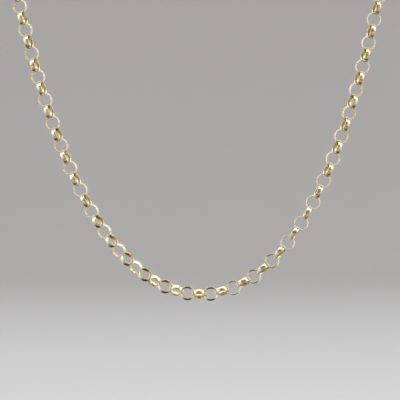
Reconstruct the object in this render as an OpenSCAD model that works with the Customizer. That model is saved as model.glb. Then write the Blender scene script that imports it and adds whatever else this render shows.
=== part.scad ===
// A rolo chain necklace: round links of domed band, each turned a quarter from the last, in one closed loop.
// The front hangs in an upright plane facing -Y. At each side the chain turns back, rises beside the neck
// and closes round the nape, where the clasp is. All sizes are in millimetres, +Z is up, and the origin is
// where the necklace hangs: on the inner side of the chain, in the middle of the nape.

/* [Links] */
// Inside width of a link's round eye
link_id = 3.17; // [2.6:0.01:4.4]
// Thickness of the band, in the middle of its width
band_t = 0.3; // [0.26:0.01:0.4]
// Width of the band, which is how deep a link is
band_w = 1.1; // [0.9:0.05:1.3]
// Thickness left along the band's edges
edge_t = 0.12; // [0.06:0.01:0.14]
// Play between two links that hold each other
link_gap = 0.13; // [0.13:0.01:0.3]

/* [Front] */
// Length of the whole necklace, fastened
chain_len = 460; // [380:1:620]
// Radius of the curve at the lowest point of the front, which sets how wide the front hangs
hang_r = 20.4; // [14:0.1:26]
// How far the lowest link hangs off the middle
lead = -0.56; // [-1.5:0.02:1.5]
// How much closer the links sit for each radian that the front bends, where they ride on their edges
tuck = 0.84; // [0:0.02:1.2]

/* [Neck] */
// Radius of the turn where the chain leaves the front and goes back beside the neck
turn_r = 18; // [15:1:26]
// Slope at which the chain rises from the sides of the neck to the nape
neck_rise = 20; // [0:1:35]
// Radius of the curve that brings the chain in line with the side of the neck
side_r = 54; // [40:1:80]
// Length of the straight stretch beside the neck
side_len = 16; // [5:1:30]

/* [Clasp] */
// Outside width of the clasp's ring
clasp_od = 6.9; // [5.5:0.1:9]
// Thickness of the clasp's ring
clasp_wire = 1.1; // [0.8:0.1:1.6]
// How much wider the eye of the small loop soldered to the ring is than the band it holds
loop_room = 0.8; // [0.6:0.05:1.5]
// Thickness of the small loop
loop_wire = 0.7; // [0.5:0.05:0.9]

/* [Hidden] */
$fn = 72;

// How the links are twisted along the chain: share of the way from the lowest link to the clasp, then the
// turn of an odd link's axis and of an even link's from straight ahead towards the inside of the curve
twist_rows = [
    [-1, 90, 0],
    [-0.4, 72, -18],
    [-0.19, 71, -19],
    [-0.12, 58, -32],
    [-0.05, 38, -59],
    [0, 33, -69],
    [0.03, 20, -72],
    [0.1, 12, -78],
    [0.21, -14, -104],
    [0.3, -21, -111],
    [0.38, -10, -100],
    [1, -90, -180],
];

eye_r = link_id / 2;
pitch = link_id - link_gap;
// How far the band's inner and outer faces fall back from its middle to its edges
crown_h = eye_r - sqrt(eye_r * eye_r - band_w * band_w / 4);
dome_h = band_t - crown_h - edge_t;

// How far a ring with the given eye lies from the link that it holds, so that the middle of the band and
// its edges both keep their play
function reach(ring_eye_r) =
    let (clear_r = ring_eye_r - link_gap)
    eye_r + min(clear_r, crown_h + sqrt(clear_r * clear_r - band_w * band_w / 4));

// Stretch of the chain that the clasp takes up, from the middle of one end link to the other's
clasp_r = (clasp_od - clasp_wire) / 2;
loop_r = (band_w + loop_room + loop_wire) / 2;
end_to_ring = reach(clasp_r - clasp_wire / 2);
ring_to_loop = clasp_r + loop_r;
loop_to_end = reach(loop_r - loop_wire / 2);
clasp_span = end_to_ring + ring_to_loop + loop_to_end;

// Links on each side of the lowest one. The count is even, so both end links lie flat for the clasp
side_links = 2 * round((chain_len - clasp_span) / (4 * pitch));
half_len = link_s(side_links) - link_s(0) + clasp_span / 2;

// The half loop, as lengths along the chain: the hanging front, the turn back, the curve into line with
// the neck, the straight stretch beside it and the half round at the nape
function radians(d) = d * PI / 180;
function asinh(v) = ln(v + sqrt(v * v + 1));
function lean(front) = atan(hang_r / front);
function turn_len(front) = turn_r * radians(90 - neck_rise) / cos(lean(front));
function line_len(front) = side_r * radians(lean(front));
function turn_x(front) = hang_r * asinh(front / hang_r) + turn_len(front) * sin(lean(front));
function neck_r(front) = turn_x(front) + side_r * (1 - cos(lean(front)));
function hidden_len(front) = turn_len(front) + line_len(front) + side_len + neck_r(front) * PI / 2;
function solve_front(front, steps) =
    steps == 0 ? front : solve_front(half_len - hidden_len(front), steps - 1);

front_len = solve_front(half_len / 2, 16);
lean_deg = lean(front_len);
turn_end = front_len + turn_len(front_len);
line_end = turn_end + line_len(front_len);
side_end = line_end + side_len;
nape_r = neck_r(front_len);

front_x = hang_r * asinh(front_len / hang_r);
front_z = sqrt(hang_r * hang_r + front_len * front_len) - hang_r;
climb = [0, cos(neck_rise), sin(neck_rise)];
turn_top = [
    turn_x(front_len),
    turn_r * (1 - sin(neck_rise)),
    front_z + turn_r * cos(neck_rise),
];
line_run = side_r * sin(lean_deg);
nape_at = [0, turn_top.y, turn_top.z] + (line_run + side_len + nape_r) * climb;

// One place on the right half, s along the chain from its lowest point: its point, direction and inward side
function on_front(s) =
    let (bend = atan(s / hang_r))
    [
        [hang_r * asinh(s / hang_r), 0, sqrt(hang_r * hang_r + s * s) - hang_r],
        [cos(bend), 0, sin(bend)],
        [-sin(bend), 0, cos(bend)],
    ];

function on_turn(s) =
    let (
        run = s - front_len,
        swing = run * cos(lean_deg) / turn_r * 180 / PI,
        ahead = [0, sin(swing), cos(swing)]
    )
    [
        [front_x + run * sin(lean_deg), turn_r * (1 - cos(swing)), front_z + turn_r * sin(swing)],
        [sin(lean_deg), 0, 0] + cos(lean_deg) * ahead,
        [-cos(lean_deg), 0, 0] + sin(lean_deg) * ahead,
    ];

function on_line(s) =
    let (out = lean_deg - (s - turn_end) / side_r * 180 / PI)
    [
        turn_top + [side_r * (cos(out) - cos(lean_deg)), 0, 0]
            + side_r * (sin(lean_deg) - sin(out)) * climb,
        [sin(out), 0, 0] + cos(out) * climb,
        [-cos(out), 0, 0] + sin(out) * climb,
    ];

function on_side(s) = [
    [nape_r, turn_top.y, turn_top.z] + (line_run + s - line_end) * climb,
    climb,
    [-1, 0, 0],
];

function on_nape(s) =
    let (round = (s - side_end) / nape_r * 180 / PI)
    [
        [nape_r * cos(round), turn_top.y, turn_top.z]
            + (line_run + side_len + nape_r * sin(round)) * climb,
        [-sin(round), 0, 0] + cos(round) * climb,
        [-cos(round), 0, 0] - sin(round) * climb,
    ];

function on_half(s) =
    s < front_len ? on_front(s)
    : s < turn_end ? on_turn(s)
    : s < line_end ? on_line(s)
    : s < side_end ? on_side(s)
    : on_nape(s);

// Any place on the loop, with the nape brought to the origin. The left half mirrors the right one
function mirrored(v) = [-v.x, v.y, v.z];
function on_loop(s) =
    let (
        half = on_half(abs(s)),
        home = [0, clasp_wire / 2, 0] - nape_at
    )
    s < 0
    ? [mirrored(half[0]) + home, -mirrored(half[1]), mirrored(half[2])]
    : [half[0] + home, half[1], half[2]];

function unit(v) = v / norm(v);
function link_s(i) = lead + i * pitch - tuck * radians(atan(i * pitch / hang_r));
function link_axis(i, way) =
    let (
        up = unit(cross(way, on_loop(link_s(i))[2])),
        turns = [for (row = twist_rows) [row[0], i % 2 == 0 ? row[2] : row[1]]],
        turn = lookup(link_s(i) / half_len, turns)
    )
    cos(turn) * up + sin(turn) * cross(up, way);

// On a curve the line between a link's neighbours passes it by, so the link moves half of the way that
// brings both of them into its own plane, and they move the other half
function settled(i) =
    let (
        here = on_loop(link_s(i))[0],
        behind = on_loop(link_s(i - 1))[0],
        ahead = on_loop(link_s(i + 1))[0],
        axis = link_axis(i, unit(ahead - behind)),
        off = (ahead + behind) / 2 - here
    )
    here + (off * axis) * axis - off / 2;

// Where link i lies: its middle, the way to the next link and its axis
function link_place(i) =
    let (
        here = settled(i),
        behind = settled(i - 1),
        ahead = settled(i + 1),
        way = unit(ahead - behind),
        axis = link_axis(i, way),
        off = (ahead + behind) / 2 - here
    )
    [here + (off * axis) * axis, way, axis];

// Puts a piece at a point, its Z along the given axis and its X as near as can be along the given way
module stand(point, way, axis) {
    side = cross(axis, way);
    multmatrix([
        [way.x, side.x, axis.x, point.x],
        [way.y, side.y, axis.y, point.y],
        [way.z, side.z, axis.z, point.z],
        [0, 0, 0, 1],
    ])
        children();
}

// Domed outside, and crowned inside so that the next link rolls on it. Each face is drawn as three flats
module band_section() {
    shares = [-1, -0.4, 0.4, 1];
    polygon([
        for (k = shares) [eye_r + crown_h * k * k, k * band_w / 2],
        for (k = shares) [eye_r + band_t - dome_h * k * k, -k * band_w / 2],
    ]);
}

module link() {
    rotate_extrude()
        band_section();
}

module links(first, last) {
    for (i = [first : last]) {
        place = link_place(i);
        stand(place[0], place[1], place[2])
            link();
    }
}

module ring(mid_r, wire) {
    rotate_extrude()
        translate([mid_r, 0])
            circle(wire / 2);
}

module chain_left() {
    color("khaki")
        links(-side_links, -1);
}

module chain_right() {
    color("khaki")
        links(0, side_links);
}

// The ring holds the left end link, and the small loop soldered to it holds the right one
module clasp() {
    from = link_place(side_links)[0];
    to = link_place(-side_links)[0];
    way = unit(to - from);
    color("goldenrod")
        stand(from + loop_to_end * way, way, climb) {
            ring(loop_r, loop_wire);
            translate([ring_to_loop, 0, 0])
                ring(clasp_r, clasp_wire);
        }
}

chain_left();
chain_right();
clasp();
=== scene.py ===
"""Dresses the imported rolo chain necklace: finer links in polished gold, the clasp, and a plain studio.

Every link's place is read from the frame's own solids, so the links here lie where those lie. Lengths are in
millimetres unless a name says otherwise, and become metres where a mesh, a light or the camera is made.
"""
import logging
import math
import random
from dataclasses import dataclass, field
from enum import Enum

import bmesh
import bpy
import numpy as np
from mathutils import Matrix, Vector


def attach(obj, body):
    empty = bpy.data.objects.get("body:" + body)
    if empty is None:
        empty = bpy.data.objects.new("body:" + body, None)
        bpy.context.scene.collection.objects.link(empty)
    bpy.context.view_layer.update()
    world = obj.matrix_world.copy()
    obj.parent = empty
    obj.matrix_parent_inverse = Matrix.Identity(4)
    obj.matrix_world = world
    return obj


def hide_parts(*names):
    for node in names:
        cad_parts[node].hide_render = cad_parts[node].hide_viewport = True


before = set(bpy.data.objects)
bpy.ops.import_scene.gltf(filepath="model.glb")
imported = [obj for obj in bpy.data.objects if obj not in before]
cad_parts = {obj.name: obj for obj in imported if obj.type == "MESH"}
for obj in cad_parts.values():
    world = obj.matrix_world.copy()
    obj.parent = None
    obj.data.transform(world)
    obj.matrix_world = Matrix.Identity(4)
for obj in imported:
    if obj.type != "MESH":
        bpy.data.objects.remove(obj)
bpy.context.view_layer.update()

MM = 0.001
BODY = "root"
# A link's own attributes: how much deeper its gold is, how far round the seam lies in mm, and 1 in its eye,
# where painted shade deepens the gold
TONE = "link_tone"
SEAM = "seam_distance"
EYE_SHADE = "eye_face"

log = logging.getLogger("rolo_chain")


class Make(Enum):
    """How a piece of gold was made, which decides whether it shows a seam."""

    SOLDERED = "bent from band and soldered shut"
    CAST = "cast whole"


def linear(hex_colour: str) -> tuple[float, float, float, float]:
    """Turns an sRGB hex colour into linear RGBA.

    Args:
        hex_colour: Six hex digits, with or without a leading hash.

    Returns:
        Red, green, blue and an alpha of 1, all linear.
    """
    digits = hex_colour.lstrip("#")
    channels = [int(digits[i : i + 2], 16) / 255 for i in (0, 2, 4)]
    curve = [c / 12.92 if c <= 0.04045 else ((c + 0.055) / 1.055) ** 2.4 for c in channels]
    return (*curve, 1.0)


def add_node(
    tree: bpy.types.NodeTree,
    kind: str,
    settings: dict[str, object] | None = None,
    values: dict[str | int, object] | None = None,
    links: dict[str | int, bpy.types.NodeSocket] | None = None,
) -> bpy.types.Node:
    """Adds one node with its settings, input values and incoming links.

    Args:
        tree: The node tree that gets the node.
        kind: The node's type, such as ShaderNodeBump.
        settings: Values for the node's own properties.
        values: Values for its inputs, by name or number.
        links: Output sockets to join to its inputs, by name or number.

    Returns:
        The new node.
    """
    node = tree.nodes.new(kind)
    for name, value in (settings or {}).items():
        setattr(node, name, value)
    for name, value in (values or {}).items():
        node.inputs[name].default_value = value
    for name, socket in (links or {}).items():
        tree.links.new(socket, node.inputs[name])
    return node


def finished(bm: bmesh.types.BMesh, name: str, material: bpy.types.Material) -> bpy.types.Object:
    """Turns a bmesh into a smooth-shaded object in the scene.

    Args:
        bm: The finished shape, which is freed.
        name: The object's name.
        material: Its only material.

    Returns:
        The new object, at the origin.
    """
    mesh = bpy.data.meshes.new(name)
    bm.to_mesh(mesh)
    bm.free()
    mesh.shade_smooth()
    mesh.materials.append(material)
    piece = bpy.data.objects.new(name, mesh)
    bpy.context.scene.collection.objects.link(piece)
    return piece


@dataclass(frozen=True)
class PolishedGold:
    """Solid 9 carat yellow gold, barrel polished.

    The alloy's silver and copper make it pale. Polishing leaves a near mirror with hairlines, and gold stays
    deeper and duller along its soldered seam, where the polish can't reach. In the eye of a link it is
    deeper and duller too: partly duller polish, partly painted shade of the hollow ring.
    """

    name: str = "polished_yellow_gold"
    make: Make = Make.CAST
    face: str = "F3E9C8"
    deep: str = "BDA05C"
    roughness: float = 0.13
    dull_roughness: float = 0.26
    # Hairlines left by polishing. Real ones are ten times finer, which is too fine to show
    hairline_mm: float = 0.12
    hairline_depth_mm: float = 0.006
    hairline_strength: float = 0.25
    hairline_detail: float = 2.0
    # Clouds left by handling: their width, where they start and end in the noise, and how deep they get
    cloud_mm: float = 2.4
    cloud_detail: float = 3.0
    cloud_edges: tuple[float, float] = (0.35, 0.75)
    cloud_tone: float = 0.3
    # How deep the tone is in the eye of a link, where it is partly painted shade, and along its seam, which
    # is seen this far to each side
    eye_dullness_and_shade: float = 0.7
    seam_tone: float = 0.9
    seam_mm: float = 0.18

    def material(self) -> bpy.types.Material:
        """Builds the material.

        Returns:
            A metal whose tone, polish and hairlines vary over each piece.
        """
        made = bpy.data.materials.new(self.name)
        made.use_nodes = True
        tree = made.node_tree
        shader = tree.nodes["Principled BSDF"]
        shader.inputs["Metallic"].default_value = 1.0
        place = add_node(tree, "ShaderNodeTexCoord").outputs["Object"]
        tone = self.tone(tree, self.noise(tree, place, self.cloud_mm, self.cloud_detail))
        colour = add_node(
            tree,
            "ShaderNodeMix",
            {"data_type": "RGBA"},
            {"A": linear(self.face), "B": linear(self.deep)},
            {"Factor": tone},
        )
        tree.links.new(colour.outputs["Result"], shader.inputs["Base Color"])
        polish = add_node(
            tree,
            "ShaderNodeMapRange",
            values={"To Min": self.roughness, "To Max": self.dull_roughness},
            links={"Value": tone},
        )
        tree.links.new(polish.outputs["Result"], shader.inputs["Roughness"])
        bump = add_node(
            tree,
            "ShaderNodeBump",
            values={"Strength": self.hairline_strength, "Distance": self.hairline_depth_mm * MM},
            links={"Height": self.noise(tree, place, self.hairline_mm, self.hairline_detail)},
        )
        tree.links.new(bump.outputs["Normal"], shader.inputs["Normal"])
        return made

    def noise(
        self, tree: bpy.types.NodeTree, place: bpy.types.NodeSocket, size_mm: float, detail: float
    ) -> bpy.types.NodeSocket:
        """Adds a noise whose blotches have a given size.

        Args:
            tree: The material's nodes.
            place: Coordinates in metres.
            size_mm: Width of one blotch.
            detail: How many finer layers lie over it.

        Returns:
            The noise's value.
        """
        values = {"Scale": 1 / (size_mm * MM), "Detail": detail, "Roughness": 0.6}
        return add_node(tree, "ShaderNodeTexNoise", values=values, links={"Vector": place}).outputs["Fac"]

    def tone(self, tree: bpy.types.NodeTree, clouds: bpy.types.NodeSocket) -> bpy.types.NodeSocket:
        """Adds how deep the gold's tone is. A soldered link has its own tone, a seam, and a deeper, duller
        eye that is partly painted shade.

        Args:
            tree: The material's nodes.
            clouds: A soft noise over the metal.

        Returns:
            A number from 0, pale and bright, to 1, deep and dull.
        """
        start, end = self.cloud_edges
        soft = add_node(
            tree,
            "ShaderNodeMapRange",
            values={"From Min": start, "From Max": end, "To Max": self.cloud_tone},
            links={"Value": clouds},
        ).outputs["Result"]
        if self.make is Make.CAST:
            return soft
        own, away, shaded_eye = (
            add_node(tree, "ShaderNodeAttribute", {"attribute_name": name}).outputs["Fac"]
            for name in (TONE, SEAM, EYE_SHADE)
        )
        seam = add_node(
            tree,
            "ShaderNodeMapRange",
            values={"From Max": self.seam_mm, "To Min": self.seam_tone, "To Max": 0.0},
            links={"Value": away},
        ).outputs["Result"]
        total = {"operation": "ADD"}
        both = add_node(tree, "ShaderNodeMath", total, links={0: soft, 1: own}).outputs[0]
        joined = add_node(tree, "ShaderNodeMath", total, links={0: both, 1: seam}).outputs[0]
        whole = {"operation": "MULTIPLY_ADD", "use_clamp": True}
        # Deepens the eye's gold: partly duller polish, partly painted shade inside the ring
        found = add_node(tree, "ShaderNodeMath", whole, {1: self.eye_dullness_and_shade}, {0: shaded_eye, 2: joined})
        return found.outputs[0]


@dataclass
class LinkPlace:
    """Where one link of the chain lies, in metres, and the node that its solid belongs to."""

    node: str
    centre: Vector
    axis: Vector
    way: Vector = field(default_factory=Vector)

    def matrix(self, rock: float, twist: float) -> Matrix:
        """Gives the matrix that puts a link here.

        Args:
            rock: Turn about the link's own side, in degrees.
            twist: Turn about the chain's run, in degrees.

        Returns:
            A matrix whose Z is the link's axis and whose X is the chain's run.
        """
        across = self.axis.cross(self.way).normalized()
        run = across.cross(self.axis)
        turned = Matrix((run, across, self.axis)).transposed().to_4x4()
        wobble = Matrix.Rotation(math.radians(twist), 4, "X") @ Matrix.Rotation(math.radians(rock), 4, "Y")
        return Matrix.Translation(self.centre) @ turned @ wobble


@dataclass
class Link:
    """One round link of domed band, as a coarse cage that a subdivided surface rounds off."""

    eye_r: float = 1.55
    # The band: its thickness in the middle, its width, how far its inner face falls back, and its edges
    band_t: float = 0.29
    band_w: float = 1.1
    crown_h: float = 0.0985
    edge_t: float = 0.12
    stations: int = 12
    roundings: int = 1

    def section(self) -> np.ndarray:
        """Gives the points that the finished band passes through.

        Returns:
            Radius and height of six points, anticlockwise from the middle of the eye's face.
        """
        # The rounded edge bulges past its two corners by about a third of its thickness
        shoulder = self.band_w / 2 - self.edge_t / 3
        inner = self.eye_r + self.crown_h
        outer = inner + self.edge_t
        return np.array([
            (self.eye_r, 0.0),
            (inner, -shoulder),
            (outer, -shoulder),
            (self.eye_r + self.band_t, 0.0),
            (outer, shoulder),
            (inner, shoulder),
        ])

    def cage(self) -> np.ndarray:
        """Works out the cage's section, whose subdivided surface passes through the band's own points.

        Returns:
            Radius and height of the cage's six points.
        """
        points = self.section()
        # The surface lies at four sixths of each corner and a sixth of each of the two corners beside it
        corners = np.eye(len(points))
        pull = (4 * corners + np.roll(corners, 1, axis=0) + np.roll(corners, -1, axis=0)) / 6
        solved = np.linalg.solve(pull, points)
        # The same pull acts from station to station round the link, and makes its radius smaller
        solved[:, 0] /= 2 / 3 + math.cos(2 * math.pi / self.stations) / 3
        return solved

    def mesh(self) -> bpy.types.Mesh:
        """Spins the section into a closed link.

        Returns:
            A mesh in metres with its axis along Z and a link's own attributes.
        """
        bm = bmesh.new()
        layers = bm.verts.layers.float
        for name in (EYE_SHADE, SEAM, TONE):
            layers.new(name)
        cage = self.cage()
        corners = bmesh.ops.create_circle(bm, segments=len(cage), radius=1.0)["verts"]
        for corner, (radius, height) in zip(corners, cage):
            corner.co = Vector((0.0, radius, height)) * MM
            # Marks the eye's face, whose gold the material deepens, partly as painted shade
            corner[layers[EYE_SHADE]] = float(radius < self.eye_r + self.crown_h + self.edge_t / 2)
        bmesh.ops.spin(
            bm,
            geom=bm.verts[:] + bm.edges[:],
            cent=(0, 0, 0),
            axis=(0, 0, 1),
            angle=2 * math.pi,
            steps=self.stations,
            use_merge=True,
        )
        bmesh.ops.recalc_face_normals(bm, faces=bm.faces[:])
        for vert in bm.verts:
            vert[layers[SEAM]] = abs(math.atan2(vert.co.x, vert.co.y)) * self.eye_r
        mesh = bpy.data.meshes.new("link")
        bm.to_mesh(mesh)
        bm.free()
        return mesh


@dataclass
class Chain:
    """The whole chain: finer links in place of the two nodes' solids, one piece for each node."""

    link: Link
    finish: PolishedGold
    nodes: tuple[str, ...] = ("chain_left", "chain_right")
    # How much single links stray, as a standard deviation of each angle and the widest change of tone
    twist_deg: float = 2.5
    rock_deg: float = 1.0
    seam_turn_deg: float = 18.0
    tone_spread: float = 0.12
    # Points of the frame's solids that are closer than this are one point
    weld_mm: float = 0.002
    # Puts the lowest link's seam in its far wall, where it shows
    seed: int = 88

    def places(self) -> list[LinkPlace]:
        """Reads every link's middle and axis from the nodes' separate solids.

        Returns:
            The links in their order along the chain, from one end at the clasp to the other.
        """
        found = [place for node in self.nodes for place in self.places_in(node)]
        row = [max(found, key=lambda place: place.centre.y)]
        found.remove(row[0])
        while found:
            nearest = min(found, key=lambda place: (place.centre - row[-1].centre).length)
            found.remove(nearest)
            row.append(nearest)
        for i, place in enumerate(row):
            behind, ahead = row[max(i - 1, 0)], row[min(i + 1, len(row) - 1)]
            place.way = (ahead.centre - behind.centre).normalized()
        return row

    def places_in(self, node: str) -> list[LinkPlace]:
        """Finds each solid ring of one node.

        Args:
            node: The node's name.

        Returns:
            The rings' places in no order, with the chain's run still unset.
        """
        bm = bmesh.new()
        bm.from_mesh(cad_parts[node].data)
        bmesh.ops.remove_doubles(bm, verts=bm.verts[:], dist=self.weld_mm * MM)
        unseen = set(bm.faces)
        found = []
        while unseen:
            ring = [unseen.pop()]
            for face in ring:
                fresh = {beside for edge in face.edges for beside in edge.link_faces} & unseen
                unseen -= fresh
                ring += fresh
            found.append(self.place_of(node, ring))
        bm.free()
        return found

    def place_of(self, node: str, ring: list[bmesh.types.BMFace]) -> LinkPlace:
        """Finds the middle and the axis of one ring.

        Args:
            node: The node that it belongs to.
            ring: All its faces.

        Returns:
            Its place. The axis is the way in which the ring spreads least, turned to the front.
        """
        areas = np.array([face.calc_area() for face in ring])
        middles = np.array([face.calc_center_median() for face in ring])
        centre = np.average(middles, axis=0, weights=areas)
        spread = np.cov((middles - centre).T, aweights=areas)
        axis = np.linalg.eigh(spread)[1][:, 0]
        return LinkPlace(node, Vector(centre), Vector(-axis if axis[1] > 0 else axis))

    def build(self) -> list[bpy.types.Object]:
        """Builds the links and puts them in the nodes' place.

        Returns:
            One joined piece for each node.
        """
        draw = random.Random(self.seed)
        pattern = self.link.mesh()
        gold = self.finish.material()
        shapes = {node: bmesh.new() for node in self.nodes}
        for place in self.places():
            bm = shapes[place.node]
            before = len(bm.verts)
            bm.from_mesh(pattern)
            fresh = bm.verts[before:]
            lie = place.matrix(draw.gauss(0, self.rock_deg), draw.gauss(0, self.twist_deg))
            seam_turn = draw.choice((0, 180)) + draw.gauss(0, self.seam_turn_deg)
            spun = Matrix.Rotation(math.radians(seam_turn), 4, "Z")
            bmesh.ops.transform(bm, matrix=lie @ spun, verts=fresh)
            tone = bm.verts.layers.float[TONE]
            shade = draw.uniform(-self.tone_spread, self.tone_spread)
            for vert in fresh:
                vert[tone] = shade
        bpy.data.meshes.remove(pattern)
        return [self.dressed(bm, node, gold) for node, bm in shapes.items()]

    def dressed(self, bm: bmesh.types.BMesh, node: str, gold: bpy.types.Material) -> bpy.types.Object:
        """Args:
            bm: The node's links.
            node: The node that they stand for.
            gold: Their material.

        Returns:
            The finished piece.
        """
        piece = finished(bm, f"{node}_links", gold)
        rounding = piece.modifiers.new("rounded_band", "SUBSURF")
        rounding.levels = rounding.render_levels = self.link.roundings
        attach(piece, BODY)
        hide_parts(node)
        return piece


@dataclass
class Clasp:
    """The clasp at the nape, whose solid keeps its shape and gets the gold."""

    finish: PolishedGold
    node: str = "clasp"

    def build(self) -> bpy.types.Object:
        """Gives the clasp's solid its material.

        Returns:
            The clasp.
        """
        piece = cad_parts[self.node]
        piece.data.materials.clear()
        piece.data.materials.append(self.finish.material())
        return piece


def direction(azimuth_deg: float, elevation_deg: float) -> Vector:
    """Gives the way from the necklace to something in the studio.

    Args:
        azimuth_deg: 0 straight in front, growing to the right.
        elevation_deg: 0 level, growing upwards.

    Returns:
        A unit vector.
    """
    azimuth, elevation = math.radians(azimuth_deg), math.radians(elevation_deg)
    level = math.cos(elevation)
    return Vector((level * math.sin(azimuth), -level * math.cos(azimuth), math.sin(elevation)))


@dataclass
class Softbox:
    """One soft lamp of the studio, given by where it stands as seen from the necklace.

    Azimuth 0 is straight in front and grows to the right. Sizes are in metres, and brightness is what a
    mirror shows of the lamp.
    """

    name: str
    azimuth_deg: float
    elevation_deg: float
    width: float
    height: float
    brightness: float
    distance: float = 1.25

    def build(self, target: Vector) -> None:
        """Hangs the lamp and points it.

        Args:
            target: What it faces.
        """
        lamp = bpy.data.lights.new(self.name, "AREA")
        lamp.shape = "RECTANGLE"
        lamp.size, lamp.size_y = self.width, self.height
        # Its power is spread over its area and over all the ways that it shines
        lamp.energy = self.brightness * math.pi * self.width * self.height
        away = direction(self.azimuth_deg, self.elevation_deg)
        holder = bpy.data.objects.new(self.name, lamp)
        holder.location = target + away * self.distance
        holder.rotation_euler = (-away).to_track_quat("-Z", "Y").to_euler()
        holder.visible_camera = False
        bpy.context.scene.collection.objects.link(holder)


@dataclass(frozen=True)
class DimPatch:
    """A dim, warm part of the room, such as where the camera stands.

    It is evenly dim out to full_at_deg from its middle and fades out up to fades_at_deg. The tint, an sRGB
    hex colour, is what its middle leaves of the room's light.
    """

    azimuth_deg: float
    elevation_deg: float
    full_at_deg: float
    fades_at_deg: float
    tint: str

    def middle(self) -> Vector:
        """Gives the way to the middle of the patch."""
        return direction(self.azimuth_deg, self.elevation_deg)


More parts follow.
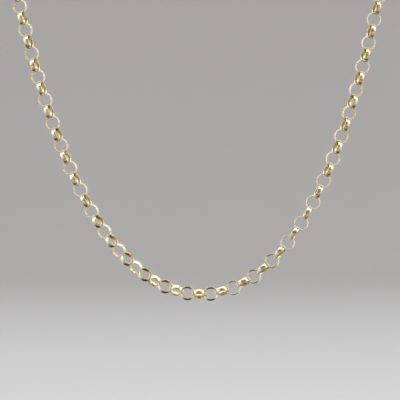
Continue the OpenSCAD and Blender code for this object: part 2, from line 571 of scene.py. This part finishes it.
@dataclass
class Studio:
    """A plain pale cove round the necklace, its lamps and the camera."""

    floor_z: float = -165.0
    cove_r: float = 2000.0
    bend_r: float = 600.0
    wall_h: float = 1500.0
    bend_steps: int = 16
    round_steps: int = 72
    # Matt seamless paper scatters all light, so it shows an even pale grey and no highlight
    paper_hex: str = "CBCAC9"
    paper_roughness: float = 0.9
    room_hex: str = "F2F3F7"
    # The side where the camera stands, the ground in front of the necklace and the ground behind it
    dim: tuple[DimPatch, ...] = (
        DimPatch(azimuth_deg=0, elevation_deg=20, full_at_deg=16, fades_at_deg=56, tint="9E917B"),
        DimPatch(azimuth_deg=0, elevation_deg=-70, full_at_deg=20, fades_at_deg=75, tint="BEB39D"),
        DimPatch(azimuth_deg=180, elevation_deg=-65, full_at_deg=24, fades_at_deg=55, tint="6C624F"),
    )
    # The camera: its place, how far it stands from the front, and what one pixel takes in there
    camera_at: tuple[float, float, float] = (-0.12, -785.6, -99.6)
    camera_back: float = 700.0
    px_mm: float = 0.2505
    picture_px: float = 400.0
    roll_deg: float = 0.515
    sensor: float = 36.0
    # What the lamps face, in metres
    aim: tuple[float, float, float] = (0.0, -0.085, -0.08)
    lamps: list[Softbox] = field(
        default_factory=lambda: [
            Softbox("left_softbox", -82, 22, 1.0, 0.8, 1.1),
            Softbox("right_softbox", 80, 22, 1.0, 0.8, 1.15),
            Softbox("top_softbox", 0, 75, 1.8, 1.2, 1.4),
        ]
    )

    def build(self) -> None:
        """Builds the cove, the sky, the lamps and the camera."""
        self.cove()
        self.sky()
        for lamp in self.lamps:
            lamp.build(Vector(self.aim))
        self.camera()

    def cove(self) -> None:
        """Spins a floor that bends up into a wall, all round the necklace."""
        bend_x = (self.cove_r - self.bend_r) * MM
        floor = self.floor_z * MM
        bm = bmesh.new()
        middle = bm.verts.new((0.0, 0.0, floor))
        edge = bm.verts.new((bend_x, 0.0, floor))
        bm.edges.new((middle, edge))
        bend = bmesh.ops.spin(
            bm,
            geom=[edge],
            cent=(bend_x, 0.0, floor + self.bend_r * MM),
            axis=(0, -1, 0),
            angle=math.pi / 2,
            steps=self.bend_steps,
        )
        top = [piece for piece in bend["geom_last"] if isinstance(piece, bmesh.types.BMVert)]
        wall = bmesh.ops.extrude_vert_indiv(bm, verts=top)["verts"]
        bmesh.ops.translate(bm, verts=wall, vec=(0, 0, (self.wall_h - self.bend_r) * MM))
        bmesh.ops.spin(
            bm,
            geom=bm.verts[:] + bm.edges[:],
            cent=(0, 0, 0),
            axis=(0, 0, 1),
            angle=2 * math.pi,
            steps=self.round_steps,
            use_merge=True,
        )
        bmesh.ops.remove_doubles(bm, verts=bm.verts[:], dist=MM)
        paper = bpy.data.materials.new("matt_backdrop_paper")
        paper.use_nodes = True
        shader = paper.node_tree.nodes["Principled BSDF"]
        shader.inputs["Base Color"].default_value = linear(self.paper_hex)
        shader.inputs["Roughness"].default_value = self.paper_roughness
        cove = finished(bm, "cove", paper)
        cove.visible_glossy = False

    def sky(self) -> None:
        """Sets the light around the cove: even all round, with the dim parts that polished metal mirrors."""
        world = bpy.data.worlds.new("studio_room")
        world.use_nodes = True
        tree = world.node_tree
        light = None
        for patch in self.dim:
            light = self.dimmed(tree, light, patch)
        tree.links.new(light, tree.nodes["Background"].inputs["Color"])
        bpy.context.scene.world = world

    def dimmed(
        self, tree: bpy.types.NodeTree, light: bpy.types.NodeSocket | None, patch: DimPatch
    ) -> bpy.types.NodeSocket:
        """Adds one dim patch to the room.

        Args:
            tree: The world's nodes.
            light: The room's colour with the patches so far, or None while it has none.
            patch: The dim patch.

        Returns:
            The room's colour with this patch too.
        """
        place = add_node(tree, "ShaderNodeTexCoord").outputs["Generated"]
        near = add_node(
            tree, "ShaderNodeVectorMath", {"operation": "DOT_PRODUCT"}, {1: patch.middle()}, {0: place}
        ).outputs["Value"]
        edges = {
            "From Min": math.cos(math.radians(patch.fades_at_deg)),
            "From Max": math.cos(math.radians(patch.full_at_deg)),
        }
        smooth = {"interpolation_type": "SMOOTHSTEP"}
        share = add_node(tree, "ShaderNodeMapRange", smooth, edges, {"Value": near}).outputs["Result"]
        blend = {"data_type": "RGBA", "blend_type": "MULTIPLY"}
        colours = {"A": linear(self.room_hex), "B": linear(patch.tint)}
        mixed = add_node(tree, "ShaderNodeMix", blend, colours, {"Factor": share})
        if light:
            tree.links.new(light, mixed.inputs["A"])
        return mixed.outputs["Result"]

    def camera(self) -> None:
        """Puts the camera level with the photograph's, in front of the hanging curve."""
        lens = bpy.data.cameras.new("photo_camera")
        lens.sensor_width = self.sensor
        lens.lens = self.sensor * self.camera_back / (self.picture_px * self.px_mm)
        holder = bpy.data.objects.new("photo_camera", lens)
        holder.location = Vector(self.camera_at) * MM
        level = Matrix.Rotation(math.pi / 2, 4, "X")
        holder.rotation_euler = (level @ Matrix.Rotation(math.radians(-self.roll_deg), 4, "Z")).to_euler()
        bpy.context.scene.collection.objects.link(holder)
        bpy.context.scene.camera = holder


def main() -> None:
    """Builds the necklace and the studio, and reports each piece."""
    logging.basicConfig(level=logging.INFO, format="%(name)s: %(message)s")
    for half in Chain(Link(), PolishedGold(make=Make.SOLDERED)).build():
        log.info("%s: %d faces before rounding", half.name, len(half.data.polygons))
    clasp = Clasp(PolishedGold(name="polished_gold_clasp")).build()
    log.info("%s: %d faces", clasp.name, len(clasp.data.polygons))
    Studio().build()
    bpy.context.scene.view_settings.view_transform = "Standard"


if __name__ == "__main__":
    main()
